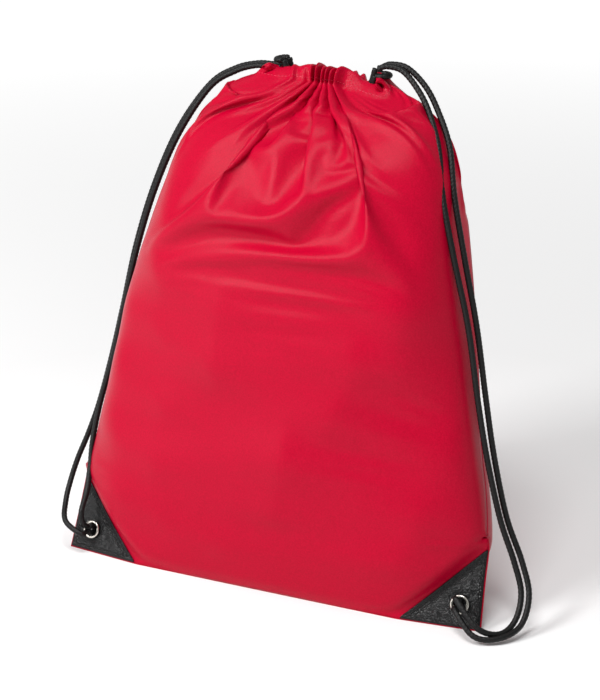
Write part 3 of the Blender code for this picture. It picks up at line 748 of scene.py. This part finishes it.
# ---------------------------------------------------------------- corner patches and their stitches
def patch_piece(name, surface, side, front):
    """A triangle of faux leather on the corner, its long edge cut straight and its tips rounded."""
    count = 36
    a0, leg, tip = 0.0010, EAR - 0.0012, 0.0022
    uv, index, faces = [], {}, []
    for j in range(count + 1):
        for i in range(count + 1 - j):
            index[i, j] = len(uv)
            uv.append((a0 + (leg - a0) * i / count, a0 + (leg - a0) * j / count))
    for j in range(count):
        for i in range(count - j):
            faces.append((index[i, j], index[i + 1, j], index[i, j + 1]))
            if i + j < count - 1:
                faces.append((index[i + 1, j], index[i + 1, j + 1], index[i, j + 1]))
    uv = np.array(uv)
    for far in ((leg, a0), (a0, leg)):  # rounds the two sharp tips
        away = uv - far
        distance = np.hypot(*away.T)
        close = distance < tip * 1.6
        share = 1 - distance[close] / (tip * 1.6)
        uv[close] += (np.array([a0 + tip, a0 + tip]) - far)[None] * 0.02 * share[:, None]
    faces = np.array(faces)
    centre = np.array([EYELET_IN, EYELET_IN])
    keep = np.hypot(*(uv[faces].mean(axis=1) - centre).T) > 0.0052
    away = uv - centre
    distance = np.hypot(*away.T)
    near = (distance < HOLE_R) & (distance > 1e-6)
    uv[near] = centre + away[near] / distance[near][:, None] * HOLE_R
    faces = faces[keep]
    lift = np.full(len(uv), LEATHER_FACE)
    across = uv[:, 0] if side < 0 else CLOTH_W - uv[:, 0]
    points, _ = surface.at(across, uv[:, 1], lift)
    used = np.unique(faces)
    renumber = -np.ones(len(points), int)
    renumber[used] = np.arange(len(used))
    faces = renumber[faces]
    if (side > 0) == front:
        faces = faces[:, ::-1]
    obj = mesh_object(name, points[used], faces, uv[used])
    return thickened(obj, PATCH)


def dash(start, end, normal, width, height):
    """A stitch: a low rounded bar from start to end, 12 points."""
    along_it = end - start
    across = np.cross(normal, along_it)
    across *= width / 2 / np.linalg.norm(across)
    points = []
    for share, grow in ((0.0, 0.35), (0.2, 1.0), (0.8, 1.0), (1.0, 0.35)):
        middle = start + along_it * share
        lift = normal * height * (grow - 0.35)
        points += [middle - across * grow, middle + lift * 1.2, middle + across * grow]
    faces = []
    for k in range(3):
        a = 3 * k
        faces += [(a, a + 1, a + 4, a + 3), (a + 1, a + 2, a + 5, a + 4), (a + 2, a, a + 3, a + 5)]
    faces += [(0, 2, 1), (9, 10, 11)]
    return points, faces


def stitches(name, runs, width=0.0009, height=0.0005):
    """One mesh of all the dashes along runs of (points, normals), one dash between each two points."""
    points, faces = [], []
    for places, normals in runs:
        for a, b, normal in zip(places[:-1], places[1:], normals):
            start, end = a + (b - a) * 0.14, a + (b - a) * 0.86
            more, between = dash(start, end, normal, width, height)
            faces += [tuple(len(points) + i for i in face) for face in between]
            points += more
    return mesh_object(name, points, faces)


def patch_stitches(name, surface, side):
    edge, pitch = 0.0040, 0.0030
    lift = LEATHER_FACE + 0.00005
    lines = [
        ((edge, edge), (EAR - 2.2 * edge, edge)),
        ((edge, edge), (edge, EAR - 2.2 * edge)),
        ((EAR - 2.2 * edge, edge), (edge, EAR - 2.2 * edge)),
        ((EAR - 2.9 * edge - 0.001, edge + 0.0004), (edge + 0.0004, EAR - 2.9 * edge - 0.001)),
    ]
    runs = []
    for start, end in lines:
        start, end = np.array(start), np.array(end)
        count = max(2, int(np.linalg.norm(end - start) / pitch))
        line = start + (end - start) * np.linspace(0, 1, count + 1)[:, None]
        across = line[:, 0] if side < 0 else CLOTH_W - line[:, 0]
        runs.append(surface.at(across, line[:, 1], np.full(len(line), lift)))
    return stitches(name, runs)


def hem_stitches(name, front):
    """The row of stitches that closes the cord tunnel, on its outer face."""
    outer, _ = hem_rows(front, 449)
    fine = outer[1]
    count = int(run_lengths(fine)[-1] / 0.0028)
    line = along(fine, np.linspace(0.01, 0.99, count))
    normal = np.cross(np.gradient(line, axis=0), np.array([0.0, 0.0, 1.0]))
    normal *= (1.0 if front else -1.0) / np.linalg.norm(normal, axis=1, keepdims=True)
    return stitches(name, [(line + normal * 0.00005, normal)], 0.0005, 0.0003)


# ---------------------------------------------------------------- cords
BRAID_PITCH = 0.0030
BRAID_COLUMNS = 8


def transported(line):
    """Tangents and a frame that doesn't twist along a polyline."""
    ahead = np.gradient(line, axis=0)
    ahead /= np.linalg.norm(ahead, axis=1, keepdims=True)
    side = np.cross(ahead[0], [0.0, 0.3, 1.0])
    side /= np.linalg.norm(side)
    sides = [side]
    for t in ahead[1:]:
        side = sides[-1] - t * np.dot(sides[-1], t)
        sides.append(side / np.linalg.norm(side))
    sides = np.array(sides)
    return ahead, sides, np.cross(ahead, sides)


def braid(name, route, radius=CORD_D / 2, around=32, step=0.0006):
    """A braided cord along a smooth curve through the route's points."""
    curve = catmull(route)
    length = run_lengths(curve)[-1]
    count = int(length / step) + 2
    line = along(curve, np.linspace(0, 1, count))
    _, sides, ups = transported(line)
    travel = np.linspace(0, length, count)[:, None]
    angle = 2 * math.pi * np.arange(around)[None] / around
    column = BRAID_COLUMNS * angle / (2 * math.pi)
    part = column - np.floor(column + 1e-9)
    slope = np.where(np.floor(column + 1e-9) % 2 == 0, 1.0, -1.0)
    phase = travel / BRAID_PITCH + slope * (part - 0.5) * 0.8
    height = abs(np.sin(math.pi * phase)) ** 0.7 * (0.45 + 0.55 * np.sin(math.pi * part) ** 0.5)
    r = radius * (0.87 + 0.18 * height)
    offset = np.cos(angle)[..., None] * sides[:, None] + np.sin(angle)[..., None] * ups[:, None]
    points = (line[:, None] + offset * r[..., None]).reshape(-1, 3)
    index = np.arange(count * around).reshape(count, around)
    nxt = np.roll(index, -1, axis=1)
    faces = np.stack([index[:-1], nxt[:-1], nxt[1:], index[1:]], axis=-1).reshape(-1, 4)
    faces = [tuple(f) for f in faces] + [tuple(index[0][::-1]), tuple(index[-1])]
    obj = mesh_object(name, points, faces)
    return obj, [tuple(q) for q in along(curve, np.linspace(0, 1, 160))], length


RIGHT_FRONT_STRAND = [
    (0.0520, 0.0985, 0.3755), (0.0640, 0.0990, 0.3730), (0.0770, 0.0950, 0.3620), (0.0880, 0.0890, 0.3480),
    (0.1010, 0.0747, 0.3271), (0.1110, 0.0590, 0.2966), (0.1230, 0.0510, 0.2577), (0.1365, 0.0470, 0.2097),
    (0.1460, 0.0440, 0.1600), (0.1560, 0.0400, 0.1172), (0.1690, 0.0345, 0.0760), (0.1815, 0.0310, 0.0473),
    (0.1900, 0.0240, 0.0270), (0.1900, 0.0120, 0.0110), (0.1830, -0.0010, 0.0055), (0.1690, -0.0085, 0.0110),
]  # fmt: skip
RIGHT_BACK_STRAND = [
    (0.0525, 0.1065, 0.3755), (0.0650, 0.1055, 0.3740), (0.0800, 0.1020, 0.3630), (0.0920, 0.0960, 0.3480),
    (0.1060, 0.0830, 0.3271), (0.1160, 0.0680, 0.2966), (0.1280, 0.0580, 0.2577), (0.1405, 0.0530, 0.2097),
    (0.1500, 0.0495, 0.1600), (0.1595, 0.0450, 0.1172), (0.1720, 0.0395, 0.0760), (0.1860, 0.0345, 0.0473),
    (0.1955, 0.0250, 0.0265), (0.1950, 0.0100, 0.0095), (0.1840, -0.0060, 0.0046), (0.1680, -0.0120, 0.0060),
]  # fmt: skip
LEFT_FRONT_STRAND = [
    (-0.0400, 0.0982, 0.3675), (-0.0510, 0.0985, 0.3670), (-0.0660, 0.0960, 0.3620), (-0.0830, 0.0890, 0.3500),
    (-0.1020, 0.0760, 0.3170), (-0.1180, 0.0660, 0.2750), (-0.1305, 0.0590, 0.2300), (-0.1405, 0.0530, 0.1830),
    (-0.1480, 0.0470, 0.1430), (-0.1555, 0.0400, 0.1100), (-0.1575, 0.0300, 0.0830), (-0.1560, 0.0220, 0.0640),
    (-0.1535, 0.0120, 0.0480), (-0.1520, -0.0005, 0.0350),
]  # fmt: skip
LEFT_BACK_STRAND = [
    (-0.0400, 0.1072, 0.3675), (-0.0520, 0.1065, 0.3672), (-0.0680, 0.1030, 0.3630), (-0.0860, 0.0960, 0.3510),
    (-0.1060, 0.0835, 0.3190), (-0.1220, 0.0730, 0.2770), (-0.1345, 0.0650, 0.2310), (-0.1440, 0.0590, 0.1830),
    (-0.1520, 0.0530, 0.1430), (-0.1600, 0.0460, 0.1070), (-0.1665, 0.0390, 0.0830), (-0.1720, 0.0310, 0.0640),
    (-0.1745, 0.0230, 0.0480), (-0.1730, 0.0120, 0.0350), (-0.1660, -0.0010, 0.0250),
]  # fmt: skip


def strand_route(side, front, points, rise, stub_side):
    exit_y = MOUTH_Y + (-1 if front else 1) * EXIT_Y
    start = (MOUTH_X + side * (EXIT_X + STRAND_CLEAR), exit_y, HEM_Z + rise)
    way = [start] + [(x, FRONT_LINE_Y + depth, z) for x, depth, z in points]
    for spread, ahead in ((1.7, APPROACH), (1, 0)):
        up_side = EYELET_IN + stub_side * STUB_Y * spread
        way.append(tuple(in_corner(side, EYELET_IN, up_side, STUB_FRONT + STRAND_CLEAR + ahead)))
    return way


def strand_piece(prefix, side, front, points, rise, stub_side):
    which = "front" if front else "back"
    name = f"{prefix}_strap_{which}_cord"
    route = strand_route(side, front, points, rise, stub_side)
    obj, path, length = braid(name, route)
    finish_piece(obj, None, CORD, "black_cord", f"{prefix}_cord_{which}_strand")
    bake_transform(obj)
    return obj


def run_piece(name, body, front, rise, node_name):
    mouth = Mouth(front, 61)
    exit_y = MOUTH_Y + (-1 if front else 1) * EXIT_Y
    gathered = (abs(mouth.base[:, 0] - MOUTH_X) < 0.022) & (abs(mouth.base[:, 1] - MOUTH_Y) > 0.0075)
    route = [tuple(q) for q in (mouth.base + mouth.up * (HEM_HEIGHT * 0.5 + rise))[gathered]]
    for side in (-1, 1):
        end = (MOUTH_X + side * EXIT_X, exit_y, HEM_Z + rise)
        dips = (MOUTH_X + side * (EXIT_X - 0.0045), exit_y, (route[0] if side < 0 else route[-1])[2] - 0.003)
        route = [end, dips, *route] if side < 0 else [*route, dips, end]
    obj, _, _ = braid(name, route, around=16, step=0.001)
    return finish_piece(obj, body, CORD, "black_cord", node_name)


def turn_piece(name, side, rise, lift, reach, node_name):
    x = MOUTH_X + side * (EXIT_X + GAP)
    run_in = reach - TURN_R
    loop = [(0, -EXIT_Y), (run_in / 2, -EXIT_Y)]
    bend = [math.radians(a) for a in range(-90, 91, 30)]
    loop += [(run_in + TURN_R * math.cos(a), TURN_R * math.sin(a)) for a in bend]
    loop += [(run_in / 2, EXIT_Y), (0, EXIT_Y)]
    route = [
        (x + side * out, MOUTH_Y + y, HEM_Z + rise + lift * float(smoothstep(1.6 * out / reach - 0.6)))
        for out, y in loop
    ]
    obj, _, _ = braid(name, route)
    return finish_piece(obj, "bag", CORD, "black_cord", node_name)


# ---------------------------------------------------------------- eyelets and knots
def eyelet_frame(side):
    mirrored = corner_frame(side)
    out = mirrored.col[2].to_3d()
    up = mirrored.col[1].to_3d()
    made = Matrix.Identity(4)
    for column, axis in enumerate((up.cross(out), up, out)):
        made.col[column] = (*axis, 0)
    made.col[3] = (*in_corner(side, EYELET_IN, EYELET_IN, 0), 1)
    return made


def turned(name, profile, side, steps=72):
    """A ring turned about an eyelet's axis from a closed profile of (radius, height out of the front)."""
    points = []
    for k in range(steps):
        a = 2 * math.pi * k / steps
        points += [eyelet_frame(side) @ Vector((r * math.cos(a), r * math.sin(a), z)) for r, z in profile]
    n = len(profile)
    faces = []
    for k in range(steps):
        a, b = k * n, (k + 1) % steps * n
        faces += [(a + i, b + i, b + (i + 1) % n, a + (i + 1) % n) for i in range(n)]
    obj = mesh_object(name, points, faces)
    shape = bmesh.new()
    shape.from_mesh(obj.data)
    bmesh.ops.recalc_face_normals(shape, faces=shape.faces)
    shape.to_mesh(obj.data)
    shape.free()
    obj.data.shade_smooth()
    return obj


def eyelet_pieces(prefix, side):
    seat = PATCH_OUT + GAP
    inner, outer, high = EYELET_BORE_R, EYELET_FLANGE_R, 0.0013
    rolled = [
        (inner + (outer - inner) * (0.5 - 0.5 * math.cos(a)), seat + high * math.sin(a) ** 0.8)
        for a in np.linspace(0.0, math.pi, 15)
    ]
    barrel = [(outer - 0.0002, seat - 0.0001), (inner + 0.0005, seat - 0.0001), (inner + 0.0005, -seat - 0.0012),
              (inner, -seat - 0.0014)]  # fmt: skip
    ring_piece = turned(prefix + "_eyelet_ring", rolled + barrel, side)
    finish_piece(ring_piece, "bag", NICKEL, "nickel", prefix + "_eyelet")
    flat = [(inner + 0.0008, -seat + 0.0001), (outer, -seat + 0.0001), (outer, -seat - 0.0004),
            (outer - 0.0006, -seat - 0.0008), (outer - 0.0014, -seat - 0.0006),
            (inner + 0.0008, -seat - 0.0007)]  # fmt: skip
    washer = turned(prefix + "_eyelet_back_ring", flat, side)
    finish_piece(washer, "bag", NICKEL, "nickel", prefix + "_eyelet_washer")


def knot_piece(prefix, side):
    """The cord's two ends, through the eyelet and tied in a knot behind it."""
    place = eyelet_frame(side)
    behind = -(PATCH_OUT + GAP + 0.0014)
    middle = behind - 0.0052
    route = [(0, STUB_Y, STUB_FRONT), (0, STUB_Y, 0), (0, STUB_Y * 0.9, behind)]
    for k in range(25):
        t = 2 * math.pi * (k / 24) * 1.0 + 0.5
        reach = 0.0034 + 0.0012 * math.cos(3 * t)
        route.append((reach * math.cos(2 * t), reach * math.sin(2 * t), middle + 0.0022 * math.sin(3 * t)))
    route += [(0, -STUB_Y * 0.9, behind), (0, -STUB_Y, 0), (0, -STUB_Y, STUB_FRONT)]
    obj, _, _ = braid(prefix + "_overhand_knot", [tuple(place @ Vector(q)) for q in route], CORD_D / 2)
    return finish_piece(obj, "bag", CORD, "black_cord", prefix + "_knot")


# ---------------------------------------------------------------- camera, floor and light
def studio():
    azimuth, elevation, distance = math.radians(24.6), math.radians(20.1), 1.4
    target = Vector((0.030, -0.0576, 0.193))
    back = Vector((math.sin(azimuth) * math.cos(elevation), -math.cos(azimuth) * math.cos(elevation),
                   math.sin(elevation)))  # fmt: skip
    data = bpy.data.cameras.new("camera")
    data.sensor_width = 36.0
    data.lens = 2013 * 36.0 / 700
    camera = link(bpy.data.objects.new("camera", data))
    camera.location = target + back * distance
    camera.rotation_euler = back.to_track_quat("Z", "Y").to_euler()
    bpy.context.scene.camera = camera

    bpy.ops.mesh.primitive_plane_add(size=8, location=(0, 0, 0))
    floor = bpy.context.active_object
    floor.name = "studio_floor"
    made, tree, shader = new_material("studio_floor")
    shader.inputs["Base Color"].default_value = (0.93, 0.93, 0.93, 1)
    shader.inputs["Roughness"].default_value = 0.9
    shader.inputs["Specular IOR Level"].default_value = 0.0
    shader.inputs["Emission Color"].default_value = (1, 1, 1, 1)
    away = tree.nodes.new("ShaderNodeTexCoord").outputs["Object"]
    away = node(tree, "ShaderNodeVectorMath", {0: away}, operation="LENGTH").outputs["Value"]
    glow = node(tree, "ShaderNodeMapRange", {"Value": away, "From Min": 0.5, "From Max": 2.2, "To Max": 0.6})
    tree.links.new(glow.outputs[0], shader.inputs["Emission Strength"])
    floor.data.materials.append(made)

    world = bpy.data.worlds.new("studio")
    bpy.context.scene.world = world
    bpy.context.scene.view_settings.view_transform = "Standard"
    world.use_nodes = True
    world.node_tree.nodes["Background"].inputs["Color"].default_value = (1, 1, 1, 1)
    world.node_tree.nodes["Background"].inputs["Strength"].default_value = 0.40

    for name, place, size, energy in (
        ("key", (-0.75, -1.15, 1.35), (0.45, 0.45), 17.0),
        ("top", (0.15, -0.7, 1.9), (0.7, 0.4), 18.0),
        ("tall_softbox", (-1.0, -1.25, 0.75), (0.6, 1.1), 7.0),
    ):
        lamp = bpy.data.lights.new(name, "AREA")
        lamp.shape = "RECTANGLE"
        lamp.size, lamp.size_y = size
        lamp.energy = energy
        obj = link(bpy.data.objects.new(name, lamp))
        obj.location = place
        obj.rotation_euler = (Vector(place) - Vector((0, 0, 0.2))).to_track_quat("Z", "Y").to_euler()


# ---------------------------------------------------------------- assembly
def build():
    cloth = make_cloth()
    front, back = panels_of(cloth)
    columns = front.shape[1]
    for which, grid, is_front in (("front", front, True), ("back", back, False)):
        fabric = panel_piece(which + "_fabric", grid, is_front)
        finish_piece(fabric, None, POLYESTER, "red_polyester", which + "_panel")
        lining = hem_piece(which + "_hem_lining", is_front, columns)
        finish_piece(lining, which + "_rim", POLYESTER, "red_polyester", which + "_cord_tunnel")
        seams = hem_stitches(which + "_hem_stitches", is_front)
        finish_piece(seams, which + "_rim", RED_THREAD, "red_polyester")
        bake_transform(fabric)
        surface = Surface(grid, is_front)
        for prefix, side in (("left", -1), ("right", 1)):
            piece = patch_piece(f"{prefix}_{which}_leather", surface, side, is_front)
            finish_piece(piece, "bag", LEATHER, "black_faux_leather", f"{prefix}_{which}_patch")
            thread = patch_stitches(f"{prefix}_{which}_stitches", surface, side)
            finish_piece(thread, "bag", BLACK_THREAD, "black_faux_leather")
    for prefix, side in (("left", -1), ("right", 1)):
        eyelet_pieces(prefix, side)
        knot_piece(prefix, side)
    for prefix, rise in (("left", -RUN_RISE), ("right", RUN_RISE)):
        for which, is_front in (("front", True), ("back", False)):
            name, stretch = f"{prefix}_cord_in_{which}_hem", f"{prefix}_cord_{which}_run"
            run_piece(name, which + "_rim", is_front, rise, stretch)
    turn_piece("left_cord_bend", 1, -RUN_RISE, 0, 0.0085, "left_cord_turn")
    turn_piece("right_cord_bend", -1, RUN_RISE, -0.0006, 0.0072, "right_cord_turn")
    for prefix, side, in_front, behind in (
        ("right", 1, RIGHT_FRONT_STRAND, RIGHT_BACK_STRAND),
        ("left", -1, LEFT_FRONT_STRAND, LEFT_BACK_STRAND),
    ):
        strand_piece(prefix, side, True, in_front, side * RUN_RISE, 1)
        strand_piece(prefix, side, False, behind, side * RUN_RISE, -1)
    studio()


build()
